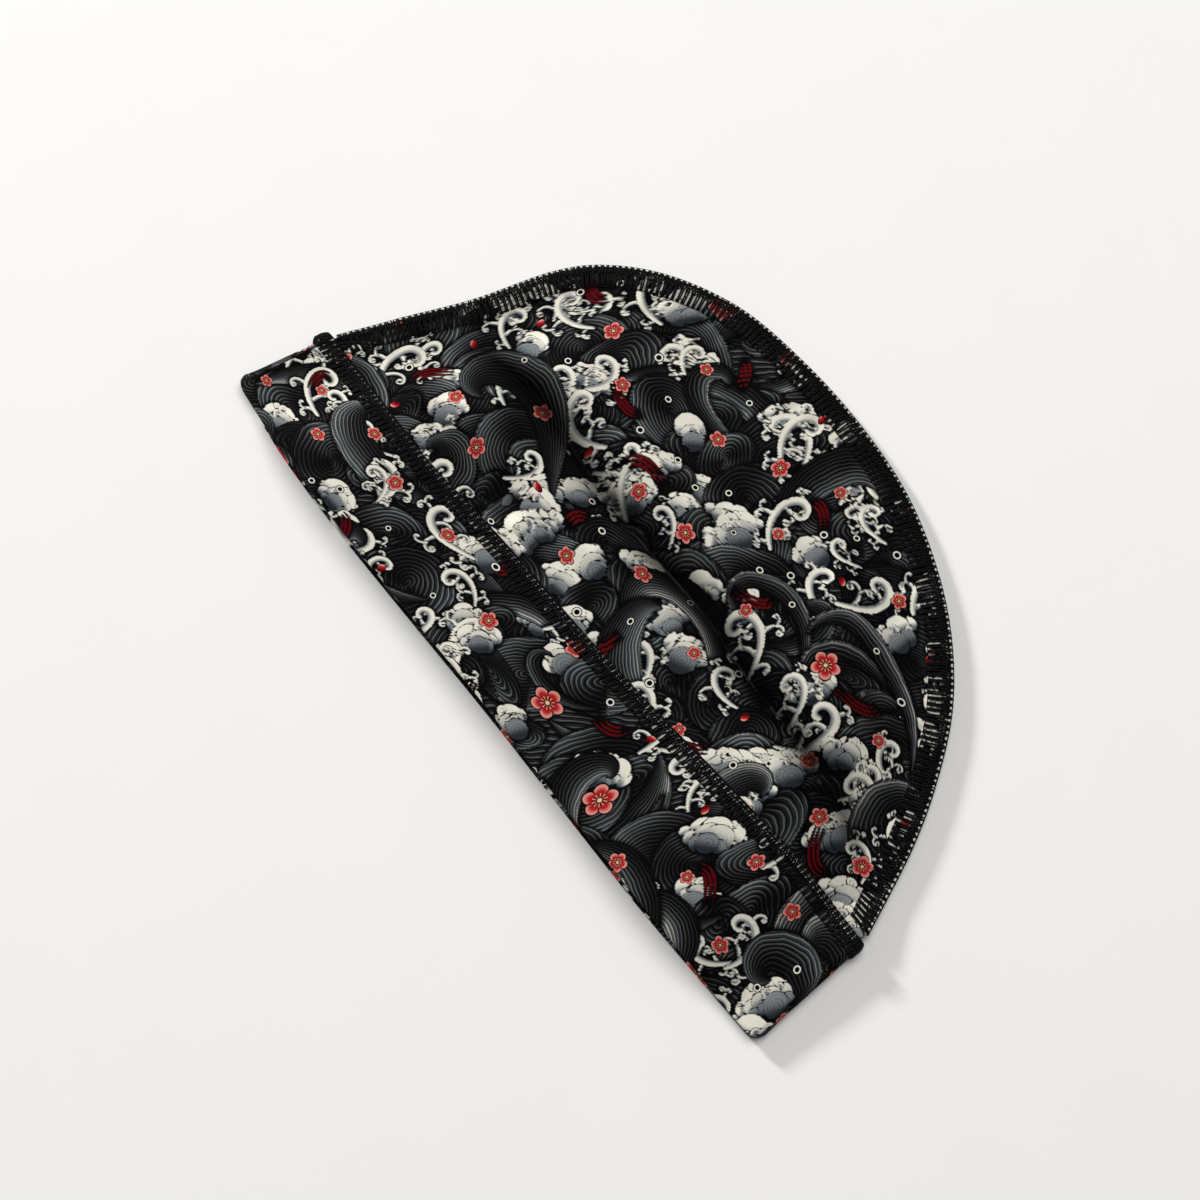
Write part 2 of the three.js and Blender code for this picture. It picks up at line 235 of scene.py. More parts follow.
# ---- Fine shape, on top of the model's ----
CREASE_EDGE = 1.1
FURROW_BRINK = 2
RUMPLE = 0.3
RUMPLE_COUNT = 22
RUMPLE_LENGTHS = (11, 34)
RUMPLE_START = (1, 14)
CUFF_RUMPLE = 0.5
PUCKER = 0.28
PUCKER_PITCH = 8.3
PUCKER_IN = 3
PUCKER_SPREAD = 5.5
DRAG = 0.3
DRAG_START = (5, 18)
DRAG_REACH = 42
chance = np.random.default_rng(7)
RUMPLES = [
    (
        chance.uniform(*RUMPLE_LENGTHS),
        chance.normal(math.pi / 2, 0.5),
        chance.uniform(0, TURN),
    )
    for _ in range(RUMPLE_COUNT)
]


def rumple(x, y):
    total = 0
    for length, angle, phase in RUMPLES:
        way = x * math.cos(angle) + y * math.sin(angle)
        total = total + np.sin(TURN * way / length + phase)
    return total * RUMPLE / math.sqrt(RUMPLE_COUNT / 2)


def hollow_height(x, y, loft):
    """Room under the upper panel: the loft and the folds, less what the crease takes."""
    edge = cuff_edge(x)
    total = 0
    for number, (path, rise, spread) in enumerate(fold_paths):
        distance, share = to_path(path, x, y)
        taper = ramp(0, FOLD_TAPER, share) * ramp(0, FOLD_TAPER, 1 - share)
        form = np.exp(-((distance / (spread * CAP_HEIGHT)) ** 2))
        total = total + rise * FOLD_RISE * taper * form
        if number == 0:
            beyond = ramp(-FURROW_BRINK, FURROW_BRINK, y - CAP_HEIGHT * up_at(x))
            width = CREASE_SPREAD * CAP_HEIGHT * lerp(1, CREASE_BEYOND, beyond)
            crease = CREASE_SHARE * taper * np.exp(-((distance / width) ** CREASE_EDGE))
    clear = ramp(edge - THREAD, edge + SEAM_WIDTH, y)
    return np.maximum(loft + clear * total, 0) * (1 - clear * crease)


def drag(x, y):
    """Pulls that run from the two corners of the cuff into the crown."""
    total = 0
    for cx, cy, count, phase in (
        (CAP_WIDTH - RIGHT_LEAN, cuff_edge(CAP_WIDTH), 19, 0.6),
        (LEFT_LEAN, cuff_edge(0.0), 15, 2.1),
    ):
        r = np.hypot(x - cx, y - cy)
        turn = np.arctan2(y - cy, x - cx)
        pulls = np.sin(count * turn + phase)
        total = total + pulls * ramp(*DRAG_START, r) * np.exp(-((r / DRAG_REACH) ** 2))
    return DRAG * total


def levels(x, y):
    """Middles of the lower and the upper panel at each point."""
    x, y = np.broadcast_arrays(np.asarray(x, float), np.asarray(y, float))
    rim_distance, rim_share = to_path(rim, x, y)
    edge = cuff_edge(x)
    inside = ramp(FLANGE_WIDTH, FLANGE_WIDTH + FLOOR_REACH, rim_distance)
    crown = lerp(SEAM_OUTSIDE, CLOTH / 2, inside)
    cuff = lerp(CUFF_OUTSIDE, STITCH_OUTSIDE, ramp(0, edge - CUFF_STITCH_WIDTH, y))
    lower = lerp(cuff, crown, ramp(edge + THREAD, edge + FLOOR_REACH, y))
    reach = np.maximum(rim_distance - FLANGE_WIDTH, 0) / PUFF_REACH
    opened = 1 - np.exp(-(reach ** 2))
    loft = MOUTH_HEIGHT * loft_at(x)
    upper = lower + CLOTH + CLEARANCE + opened * hollow_height(x, y, loft)
    free = ramp(*RUMPLE_START, rim_distance)
    crown_share = ramp(edge - 2, edge + 8, y)
    upper = upper + free * rumple(x, y) * lerp(CUFF_RUMPLE, 1, crown_share)
    upper = upper + crown_share * free * drag(x, y)
    turns = rim_share * SEAM_LENGTH * TURN / PUCKER_PITCH
    wave = np.sin(turns + 1.7 * np.sin(rim_share * 31))
    near_seam = np.exp(-(((rim_distance - FLANGE_WIDTH - PUCKER_IN) / PUCKER_SPREAD) ** 2))
    upper = upper + crown_share * PUCKER * wave * near_seam
    return lower, upper


# ---- From the cap's millimetres to the row's metres ----
# The middle of the underside of the model's box, on the cap's own axes
SHIFT = np.array([135.08, 77.57, 0.0])


def row(points):
    return (np.asarray(points) - SHIFT) / 1000


# ---- Mesh tools ----
def linked(name, data):
    """A new object in the scene."""
    made = bpy.data.objects.new(name, data)
    bpy.context.scene.collection.objects.link(made)
    return made


def grid_quads(columns, rows, start=0, wrap=False, flip=False):
    c = np.arange(columns if wrap else columns - 1)[:, None]
    r = np.arange(rows - 1)[None, :]
    d = (c + 1) % columns
    here, there = c * rows + r, d * rows + r
    quads = stack(here, there, there + 1, here + 1).reshape(-1, 4) + start
    return quads[:, ::-1] if flip else quads


def zip_lines(fine, coarse, flip=False):
    """Triangles between two lines of vertices, the first with a whole multiple of the spans."""
    each = (len(fine) - 1) // (len(coarse) - 1)
    made = []
    for i in range(len(coarse) - 1):
        for k in range(each):
            apex = coarse[i] if k < each / 2 else coarse[i + 1]
            made.append((fine[i * each + k], fine[i * each + k + 1], apex))
        made.append((coarse[i], fine[i * each + (each + 1) // 2], coarse[i + 1]))
    made = np.array(made)
    return made[:, ::-1] if flip else made


def make_piece(name, points, quads, triangles, material, nodes):
    quads = np.asarray(quads).reshape(-1, 4)
    triangles = np.asarray(triangles).reshape(-1, 3)
    loops = np.concatenate([quads.ravel(), triangles.ravel()]).astype(np.int32)
    starts = np.concatenate([
        4 * np.arange(len(quads)), 4 * len(quads) + 3 * np.arange(len(triangles))]).astype(np.int32)
    mesh = bpy.data.meshes.new(name)
    mesh.vertices.add(len(points))
    mesh.vertices.foreach_set("co", row(points).astype(np.float32).ravel())
    mesh.loops.add(len(loops))
    mesh.loops.foreach_set("vertex_index", loops)
    mesh.polygons.add(len(starts))
    mesh.polygons.foreach_set("loop_start", starts)
    mesh.polygons.foreach_set("use_smooth", np.ones(len(starts), bool))
    mesh.update(calc_edges=True)
    mesh.materials.append(material)
    piece = linked(name, mesh)
    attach(piece, "root")
    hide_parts(*nodes)
    return piece


def add_values(piece, **values):
    for name, value in values.items():
        value = np.asarray(value, np.float32)
        kind = "FLOAT_VECTOR" if value.ndim == 2 else "FLOAT"
        layer = piece.data.attributes.new(name, kind, "POINT")
        layer.data.foreach_set("vector" if value.ndim == 2 else "value", value.ravel())


def tubes(lines, radius, sides):
    """Round threads along lines of points, given as an array of lines by points by 3.
    Returns their points, quads and triangles."""
    count, length, _ = lines.shape
    tangent = np.gradient(lines, axis=1)
    tangent /= np.maximum(np.linalg.norm(tangent, axis=-1, keepdims=True), 1e-9)
    up = np.zeros_like(tangent)
    up[..., 2] = 1
    steep = np.abs(tangent[..., 2:3]) > 0.9
    up = np.where(steep, np.array([0.6, 0.8, 0.0]), up)
    side = np.cross(tangent, up)
    side /= np.maximum(np.linalg.norm(side, axis=-1, keepdims=True), 1e-9)
    for k in range(1, length):
        flip = np.sum(side[:, k] * side[:, k - 1], -1) < 0
        side[flip, k] *= -1
    top = np.cross(side, tangent)
    angle = np.arange(sides) * TURN / sides
    cosine, sine = np.cos(angle)[:, None], np.sin(angle)[:, None]
    ring = cosine * side[:, :, None] + sine * top[:, :, None]
    points = lines[:, :, None] + radius * ring
    base = (np.arange(count) * length * sides)[:, None, None]
    k = np.arange(length - 1)[None, :, None] * sides
    a = np.arange(sides)
    here, there = base + k + a, base + k + (a + 1) % sides
    quads = stack(here, here + sides, there + sides, there)
    fan = np.arange(1, sides - 1)
    first = base[:, :, 0] + 0 * fan
    last = first + (length - 1) * sides
    ends = np.vstack([
        stack(first, first + fan, first + fan + 1).reshape(-1, 3),
        stack(last, last + fan + 1, last + fan).reshape(-1, 3),
    ])
    return points.reshape(-1, 3), quads.reshape(-1, 4), ends


# ---- Camera ----
VIEW_AZIMUTH = math.radians(52.32)
VIEW_ELEVATION = math.radians(74)
VIEW_DISTANCE = 0.85
VIEW_TARGET = Vector((-0.0048, -0.0249, 0.0))
LENS = 80.2
IMAGE_RIGHT = np.array([math.cos(VIEW_AZIMUTH), math.sin(VIEW_AZIMUTH)])
IMAGE_UP = np.array([-math.sin(VIEW_AZIMUTH), math.cos(VIEW_AZIMUTH)])
camera = linked("camera", bpy.data.cameras.new("camera"))
camera.data.lens = LENS
camera.data.sensor_width = 36
ahead = Vector((*(IMAGE_UP * math.cos(VIEW_ELEVATION)), -math.sin(VIEW_ELEVATION)))
camera.location = VIEW_TARGET - VIEW_DISTANCE * ahead
camera.rotation_mode = "QUATERNION"
camera.rotation_quaternion = ahead.to_track_quat("-Z", "Y")
bpy.context.scene.camera = camera


# ---- Materials ----
class Nodes:
    """Short calls for the nodes of one material."""

    def __init__(self, name):
        self.material = bpy.data.materials.new(name)
        self.material.use_nodes = True
        self.tree = self.material.node_tree
        self.shader = self.tree.nodes["Principled BSDF"]

    def put(self, socket, value):
        if isinstance(value, bpy.types.NodeSocket):
            self.tree.links.new(value, socket)
        else:
            socket.default_value = value

    def new(self, kind, given=(), **settings):
        """A node with some settings, and what its inputs are given by name or number."""
        node = self.tree.nodes.new("ShaderNode" + kind)
        for name, value in settings.items():
            setattr(node, name, value)
        for key, value in dict(given).items():
            self.put(node.inputs[key], value)
        return node

    def kept(self, name, output="Fac"):
        return self.new("Attribute", attribute_name=name).outputs[output]

    def math(self, operation, *values, clamp=False):
        return self.new("Math", enumerate(values), operation=operation, use_clamp=clamp).outputs[0]

    def times(self, first, second, clamp=False):
        return self.math("MULTIPLY", first, second, clamp=clamp)

    def plus(self, first, second):
        return self.math("ADD", first, second)

    def scaled(self, value, scale, start, clamp=False):
        return self.math("MULTIPLY_ADD", value, scale, start, clamp=clamp)

    def ramp(self, value, low, high):
        given = {"Value": value, "From Min": low, "From Max": high}
        return self.new("MapRange", given, interpolation_type="SMOOTHSTEP").outputs[0]

    def mix(self, share, first, second):
        given = [(*value, 1) if isinstance(value, tuple) else value for value in (first, second)]
        return self.new("Mix", {0: share, 6: given[0], 7: given[1]}, data_type="RGBA").outputs[2]

    def noise(self, scale, detail=2.0):
        given = {"Vector": self.place(), "Scale": scale, "Detail": detail}
        return self.new("TexNoise", given).outputs["Fac"]

    def place(self):
        return self.new("TexCoord").outputs["Object"]

    def parts(self, vector):
        return self.new("SeparateXYZ", {0: vector}).outputs

    def bump(self, height, distance, strength):
        given = {"Height": height, "Distance": distance, "Strength": strength}
        self.put(self.shader.inputs["Normal"], self.new("Bump", given).outputs[0])

    def finish(self, colour, roughness, specular, sheen=0.0):
        for name, value in (
            ("Base Color", colour), ("Roughness", roughness), ("Specular IOR Level", specular),
            ("Sheen Weight", sheen), ("Sheen Roughness", 0.4),
        ):
            self.put(self.shader.inputs[name], value)
        return self.material


BLACK = (0.0014, 0.0014, 0.0016)
CHARCOAL = (0.01, 0.0108, 0.0122)
LINE_GREY = (0.3, 0.325, 0.345)
SHADOW_GREY = (0.02, 0.0245, 0.03)
MIDDLE_GREY = (0.19, 0.215, 0.225)
CREAM = (0.78, 0.76, 0.66)
DARK_RED = (0.1, 0.003, 0.005)
RED = (0.42, 0.013, 0.018)
PINK = (0.74, 0.3, 0.25)
STAMEN = (0.75, 0.55, 0.33)
REVERSE_GREY = (0.02, 0.021, 0.024)
RAW_CLOTH = (0.8, 0.79, 0.75)
YARN_LOW = (0.0016, 0.0016, 0.0018)
YARN_HIGH = (0.007, 0.0072, 0.008)
PAPER_LOW = (0.905, 0.905, 0.9)
PAPER_HIGH = (0.925, 0.925, 0.92)
# How far the painted shade in the furrow's crease takes the print towards black
CREASE_PAINTED_SHADE = 0.85
REVERSE_TINT = 0.72
KNIT_PITCH = 0.00055
KNIT_DEPTH = 0.00004


def jersey_material():
    n = Nodes("printed_jersey")
    glow = n.kept("glow")
    broad = n.noise(60.0, 3.0)
    waver = n.noise(75.0, 2.0)
    ink = n.scaled(waver, 3.0, n.kept("ink"))
    wave = n.math("COSINE", n.times(ink, TURN))
    pulse = n.ramp(wave, n.scaled(broad, -2.2, 1.55), 0.99)
    wave = n.math("COSINE", n.scaled(ink, 4 * math.pi, 1.7))
    faint = n.times(n.ramp(wave, 0.45, 1.0), 0.26)
    lines = n.times(n.math("MAXIMUM", pulse, faint), glow, clamp=True)
    colour = n.mix(n.times(glow, 0.8, clamp=True), BLACK, CHARCOAL)
    haze = n.kept("haze")
    colour = n.mix(n.times(haze, 0.24, clamp=True), colour, MIDDLE_GREY)
    colour = n.mix(lines, colour, n.mix(n.ramp(haze, 0.4, 1.3), LINE_GREY, CREAM))

    shade = n.kept("shade")
    pale = n.mix(n.ramp(shade, 0.05, 0.42), SHADOW_GREY, MIDDLE_GREY)
    pale = n.mix(n.ramp(shade, 0.36, 0.8), pale, CREAM)
    engraved = n.times(pulse, n.scaled(shade, -0.95, 0.72, clamp=True))
    pale = n.mix(engraved, pale, SHADOW_GREY)
    ragged = n.scaled(n.noise(420.0, 2.0), 0.24, -0.12)
    colour = n.mix(n.ramp(n.plus(n.kept("pale"), ragged), -0.1, 0.1), colour, pale)

    heat = n.kept("heat")
    red = n.mix(n.ramp(heat, 0.0, 0.6), DARK_RED, RED)
    colour = n.mix(n.ramp(n.kept("bloom"), -0.1, 0.2), colour, red)
    colour = n.mix(n.ramp(n.kept("rim"), 0.3, 0.06), colour, BLACK)

    u, v, kind = n.parts(n.kept("spot", "Vector"))
    reach = n.math("SQRT", n.plus(n.times(u, u), n.times(v, v)))
    turn = n.math("ARCTAN2", v, u)
    whole = n.ramp(n.kept("apart"), 1.3, 1.2)

    def motif(number, into, surround, inside, paint):
        """The colour so far, with one kind of small motif over it in a black surround."""
        here = n.times(whole, n.math("COMPARE", kind, number, 0.3))
        under = n.mix(n.times(here, n.ramp(into, *surround)), colour, BLACK)
        return n.mix(n.times(here, inside), under, paint)

    fives = n.scaled(n.math("COSINE", n.times(turn, 5.0)), 0.5, 0.5)
    edge = n.scaled(n.math("POWER", fives, 0.42), 0.36, 0.64)
    into = n.math("DIVIDE", reach, edge)
    petal = n.mix(n.ramp(into, 0.18, 0.62), DARK_RED, RED)
    petal = n.mix(n.ramp(into, 0.6, 0.98), petal, PINK)
    parting = n.times(n.ramp(fives, 0.1, 0.0), n.ramp(reach, 0.2, 0.34))
    petal = n.mix(parting, petal, DARK_RED)
    tens = n.math("COSINE", n.times(turn, 10.0))
    band = n.times(n.ramp(reach, 0.18, 0.24), n.ramp(reach, 0.46, 0.4))
    stamens = n.times(n.ramp(tens, 0.55, 0.9), band)
    petal = n.mix(n.times(stamens, 0.75), petal, STAMEN)
    petal = n.mix(n.ramp(reach, 0.15, 0.11), petal, STAMEN)
    colour = motif(1.0, into, (1.14, 1.06), n.ramp(into, 1.02, 0.96), petal)

    oval = n.math("SQRT", n.plus(n.times(u, u), n.times(n.times(v, v), 2.2)))
    upwards = n.plus(u, v)
    bud = n.mix(n.ramp(upwards, -0.6, 0.3), DARK_RED, RED)
    bud = n.mix(n.ramp(upwards, 0.35, 0.9), bud, PINK)
    colour = motif(3.0, oval, (1.15, 1.05), n.ramp(oval, 1.0, 0.88), bud)

    ring = n.times(n.ramp(reach, 1.02, 0.92), n.ramp(reach, 0.56, 0.68))
    colour = motif(2.0, reach, (1.3, 1.1), ring, CREAM)

    # Painted shade: the print is darkened towards black along the crease of the furrow, where the
    # fold lies in shade
    colour = n.mix(n.times(n.kept("crease"), CREASE_PAINTED_SHADE), colour, BLACK)
    wear = n.noise(900.0, 2.0)
    colour = n.mix(n.times(n.kept("reverse"), REVERSE_TINT), colour, REVERSE_GREY)
    frayed = n.scaled(n.noise(450.0, 2.0), -0.6, n.kept("margin"))
    colour = n.mix(n.ramp(frayed, 0.12, 0.35), colour, RAW_CLOTH)
    colour = n.mix(n.times(wear, 0.12), colour, BLACK)

    x, y, z = n.parts(n.place())
    wale = n.times(x, 1 / KNIT_PITCH)
    lean = n.math("PINGPONG", wale, 0.5)
    course = n.scaled(lean, 1.1, n.times(y, 1 / KNIT_PITCH))
    loops = n.math("SINE", n.times(course, TURN))
    height = n.plus(n.times(lean, 1.2), n.times(loops, 0.5))
    n.bump(height, KNIT_DEPTH, 0.5)
    rough = n.scaled(broad, 0.12, 0.62)
    return n.finish(colour, rough, specular=0.02, sheen=0.004)


def yarn_material():
    n = Nodes("overlock_yarn")
    fuzz = n.noise(2500.0, 2.0)
    colour = n.mix(fuzz, YARN_LOW, YARN_HIGH)
    n.bump(fuzz, 0.00008, 0.6)
    rough = n.scaled(fuzz, 0.2, 0.5)
    return n.finish(colour, rough, specular=0.06, sheen=0.008)


def paper_material():
    n = Nodes("floor")
    grain = n.noise(30.0, 4.0)
    colour = n.mix(grain, PAPER_LOW, PAPER_HIGH)
    n.bump(grain, 0.0003, 0.1)
    rough = n.scaled(grain, 0.1, 0.85)
    return n.finish(colour, rough, specular=0.2)


jersey = jersey_material()
yarn = yarn_material()
paper = paper_material()


# ---- Floor and light ----
FLOOR_HALF = 12.0
WORLD_STRENGTH = 0.2
LIGHT_COLOUR = (1.0, 0.985, 0.965)
floor_mesh = bpy.data.meshes.new("floor")
corners = [(x * FLOOR_HALF, y * FLOOR_HALF, 0) for x, y in ((-1, -1), (1, -1), (1, 1), (-1, 1))]
floor_mesh.from_pydata(corners, [], [(0, 1, 2, 3)])
floor_mesh.materials.append(paper)
floor = linked("floor", floor_mesh)

world = bpy.data.worlds.new("world")
world.use_nodes = True
background = world.node_tree.nodes["Background"]
background.inputs["Color"].default_value = (*LIGHT_COLOUR, 1)
background.inputs["Strength"].default_value = WORLD_STRENGTH
bpy.context.scene.world = world


def soft_light(name, right, up, elevation, distance, size, watts):
    """A round lamp that faces the cap, from a direction in the picture and as many degrees
    above the floor."""
    elevation = math.radians(elevation)
    way = Vector((*IMAGE_RIGHT, 0)) * right + Vector((*IMAGE_UP, 0)) * up
    way = way.normalized() * math.cos(elevation)
    way.z = math.sin(elevation)
    lamp = linked(name, bpy.data.lights.new(name, "AREA"))
    lamp.data.shape = "DISK"
    lamp.data.size = size
    lamp.data.energy = watts
    lamp.data.color = LIGHT_COLOUR
    lamp.location = way * distance
    lamp.rotation_mode = "QUATERNION"
    lamp.rotation_quaternion = (-way).to_track_quat("-Z", "Y")


soft_light("key", right=-0.7, up=0.71, elevation=19.5, distance=3.0, size=0.42, watts=84)
soft_light("overhead", right=0.5, up=0.86, elevation=72, distance=2.4, size=2.0, watts=33)
bpy.context.scene.view_settings.view_transform = "Standard"


# ---- The print ----
FAR = 9.0
# A place with a draw above the first gets a mound, and one below any of the others gets the
# form of the first that it is below
MOUND_ABOVE, RIBBON_BELOW, CLOUD_BELOW, SPRAY_BELOW = 0.18, 0.3, 0.58, 0.93
FLOWER, RING, BUD = 1, 2, 3
# inset, scale, tone of a cloud's ranks
CLOUD_RANKS = [(0.0, 1.0, 1.0), (2.4, 0.9, 0.72), (4.6, 0.8, 0.45)]
# along the stem, turn off it, share of its size
TWIGS = [
    (0.05, -1.0, 0.7), (0.14, 1.0, 1.0), (0.28, -1.15, 0.95), (0.42, 1.1, 0.8),
    (0.55, -1.2, 0.7),
]


def turned(points, angle):
    """The points' two coordinates on axes turned by an angle."""
    c, s = math.cos(angle), math.sin(angle)
    return c * points[:, 0] + s * points[:, 1], c * points[:, 1] - s * points[:, 0]


def rounded_end(t):
    """A thickening at the end of a line, by share of its length."""
    return np.exp(-(((t - 1) / 0.07) ** 2))


class Print:
    """A pattern on some points of the cloth, built up one form over another. Each value is
    kept per point: ink counts fine lines across, glow is their strength and haze the soft
    grey below them, pale and bloom are distances into cream and red forms, shade and heat
    how light those are, rim the distance from an outline, spot the place in a small round
    motif with its kind, and apart the distance from that motif's centre in its radii."""

    def __init__(self, cloth_points):
        x, y = cloth_points @ IMAGE_RIGHT, cloth_points @ IMAGE_UP
        start = {
            "ink": y / 1.9, "glow": 0.3, "haze": 0.0, "pale": -FAR, "bloom": -FAR, "shade": 0.0,
            "heat": 0.0, "rim": FAR, "spot": np.zeros((len(x), 3)), "apart": FAR}
        self.values = {
            name: np.full(len(x), value) if np.isscalar(value) else value
            for name, value in start.items()}
        self.bent = stack(
            x + (1.0 * np.sin(y / 8.7 + 1.3 * np.sin(x / 21)) + 2.6 * np.sin(y / 24 + x / 61)),
            y + (0.9 * np.cos(x / 9.3 + 0.7) + 2.4 * np.sin(x / 27 - y / 49 + 1.1)))
        self.order = np.argsort(self.bent[:, 0])
        self.sorted = self.bent[self.order, 0]

    def near(self, low, high):
        first, last = np.searchsorted(self.sorted, (low[0], high[0]))
        some = self.order[first:last]
        y = self.bent[some, 1]
        return some[(y >= low[1]) & (y <= high[1])]

    def lay(
            self, chosen, cover, ink, glow=0.0, haze=0.0, pale=-FAR, bloom=-FAR, shade=0.0,
            heat=0.0):
        """Lays a form over what is there. cover is the distance into it, negative outside."""
        kept = {name: value[chosen] for name, value in self.values.items()}
        inside = cover > 0
        for name, own in (("pale", pale), ("bloom", bloom)):
            kept[name] = np.maximum(np.minimum(own, cover), np.minimum(kept[name], -cover))
        kept["rim"] = np.minimum(np.where(inside, FAR, kept["rim"]), np.abs(cover))
        for name, own, reach in (("glow", glow, 1.5), ("haze", haze, 2.4)):
            under = kept[name] * ramp(0.1, reach, -cover)
            kept[name] = np.where(inside, own * ramp(0.12, 0.5, cover), under)
        for name, own in (("ink", ink), ("shade", shade), ("heat", heat)):
            kept[name] = np.where(inside, own, kept[name])
        for name, value in kept.items():
            self.values[name][chosen] = value

    def mound(self, centre, radius, squash, tilt, arms, spacing, phase, strength):
        chosen = self.near(centre - radius - 2, centre + radius + 2)
        x, y = turned(self.bent[chosen] - centre, tilt)
        y = y / squash
        reach = np.hypot(x, y)
        turn = np.mod(np.arctan2(y, x) + math.pi / 2 + tilt, TURN)
        cover = (radius - reach) * (0.5 + 0.5 * squash)
        patchy = (0.5 + 0.5 * np.sin(1.7 * turn + phase + 0.12 * reach)) ** 1.5
        glow = (0.1 + 0.9 * np.exp(-cover / (0.4 * radius))) * (0.1 + 0.9 * patchy)
        haze = np.exp(-np.maximum(cover, 0) / (0.13 * radius)) * np.maximum(patchy - 0.3, 0)
        ink = cover / spacing - 0.45 + arms * turn / TURN
        ink = ink + 0.9 * np.sin(2 * turn + 2 * phase)
        self.lay(chosen, cover, ink=ink, glow=strength * glow, haze=1.7 * strength * haze)

    def lobe(self, centre, radius, outwards, tone):
        chosen = self.near(centre - radius - 2, centre + radius + 2)
        away = self.bent[chosen] - centre
        reach = np.hypot(*away.T)
        shade = tone * ramp(-0.95, 0.75, away @ outwards / radius)
        self.lay(chosen, radius - reach, ink=reach / 1.1 + 0.3, pale=FAR, shade=shade)

    def stroke(self, line, widths, colour="pale", tone=0.5, side=1.0, lines=0.85, haze=0.0):
        """A brush stroke along a line of points, lit from one side. Its colour is pale,
        bloom, or lines for fine lines alone. Where it is widest, the lines are as far apart
        as lines says, and they draw together where it narrows."""
        wide = widths.max() + 2
        chosen = self.near(line.min(0) - wide, line.max(0) + wide)
        if not len(chosen):
            return
        at = self.bent[chosen]
        cover = np.full(len(chosen), -FAR)
        aside = np.zeros(len(chosen))
        for start, end, w0, w1 in zip(line[:-1], line[1:], widths[:-1], widths[1:]):
            step = end - start
            t = np.clip((at - start) @ step / max(step @ step, 1e-9), 0, 1)
            away = at - start - t[:, None] * step
            reach = np.hypot(*away.T)
            width = lerp(w0, w1, t)
            better = width - reach > cover
            cover[better] = (width - reach)[better]
            cross = step[0] * away[:, 1] - step[1] * away[:, 0]
            aside[better] = (np.sign(cross) * reach / width)[better]
        lit = np.clip(tone + 0.45 * side * aside, 0, 1)
        ink = aside * widths.max() / lines
        if colour == "lines":
            self.lay(
                chosen, cover, ink=ink, glow=0.04 + 0.96 * lit ** 2.6,
                haze=haze * ramp(0.55, 1.0, lit))
        elif colour == "pale":
            self.lay(chosen, cover, ink=ink, pale=FAR, shade=lit)
        else:
            self.lay(chosen, cover, ink=ink, bloom=FAR, heat=lit)

    def mark(self, centre, radius, turn, kind):
        """A small round motif, whose form the material draws from its own coordinates."""
        room = 1.35 * radius + 0.9
        chosen = self.near(centre - room, centre + room)
        away = self.bent[chosen] - centre
        reach = np.hypot(*away.T)
        hit = reach < room
        chosen = chosen[hit]
        x, y = turned(away[hit], turn)
        self.values["spot"][chosen] = stack(x / radius, y / radius, np.full(len(x), kind))
        self.values["apart"][chosen] = reach[hit] / radius


def curl_line(start, heading, length, hand, tight, steps=26):
    """A line that sets off in a heading and winds up ever more tightly."""
    t = (np.arange(steps) + 0.5) / steps
    turn = heading + hand * tight * TURN * (0.25 * t + 0.75 * t ** 2.6)
    shorter = 1 - 0.62 * t
    step = stack(np.cos(turn), np.sin(turn)) * (length / steps) * shorter[:, None] / 0.69
    return np.vstack([start, start + np.cumsum(step, 0)])


def curl(pattern, start, heading, length, hand, width, tone=0.66):
    line = curl_line(start, heading, length, hand, 1.22)
    t = np.linspace(0, 1, len(line))
    widths = width * (1 - 0.72 * t) + 0.5 * width * rounded_end(t) + 0.1
    pattern.stroke(line, widths, "pale", tone, -hand)
    return line


def spray(pattern, uniform, start, heading, size, hand):
    """A scroll with smaller scrolls that leave it on both sides, and smaller ones on those."""
    stem = curl_line(start, heading, 2.5 * size, hand, 1.0)
    for t, off, share in TWIGS:
        k = int(t * (len(stem) - 1))
        way = stem[k + 1] - stem[k]
        ahead = math.atan2(way[1], way[0]) + off * hand * uniform(0.6, 1.05)
        length = share * size * uniform(0.9, 1.3)
        twig = curl(pattern, stem[k], ahead, length, off * hand, 0.054 * size + 0.1)
        if uniform() < 0.7:
            way = twig[9] - twig[8]
            turn = math.atan2(way[1], way[0]) - off * hand * 0.9
            curl(pattern, twig[8], turn, 0.55 * length, -off * hand, 0.036 * size + 0.1)
    t = np.linspace(0, 1, len(stem))
    widths = (0.105 * size + 0.08) * np.sin(math.pi * (0.12 + 0.8 * t)) ** 0.8
    widths = widths + 0.38 * rounded_end(t) + 0.1
    pattern.stroke(stem, widths, "pale", 0.72, -hand)


def cloud_bank(pattern, uniform, centre, radius, first, last):
    """Scallops along the top of a mound in three ranks, the largest and palest outside,
    with a small curl inside some of them."""
    for rank, (inset, scale, tone) in enumerate(CLOUD_RANKS):
        reach = (radius - inset) * abs(last - first) * (1 - 0.12 * rank)
        count = max(3, int(reach / (4.2 * scale)))
        order = sorted(range(count), key=lambda i: -abs(i - (count - 1) / 2))
        for i in order:
            t = (i + 0.5 + uniform(-0.2, 0.2)) / count
            turn = lerp(first, last, lerp(0.06 * rank, 1 - 0.06 * rank, t))
            outwards = np.array([math.cos(turn), math.sin(turn)])
            size = scale * (1.6 + 2.9 * math.sin(math.pi * t)) * uniform(0.7, 1.3)
            place = centre + outwards * (radius - inset - 0.3 * size + uniform(-0.6, 0.6))
            pattern.lobe(place, size, outwards, tone * uniform(0.85, 1.0))
            if size > 2.3 and rank < 2 and uniform() < 0.5:
                hand = 1 if t < 0.5 else -1
                curl(
                    pattern, place - 0.1 * size * outwards, turn - hand * 1.2, 1.9 * size, hand,
                    0.28 * size, 0.7 * tone)


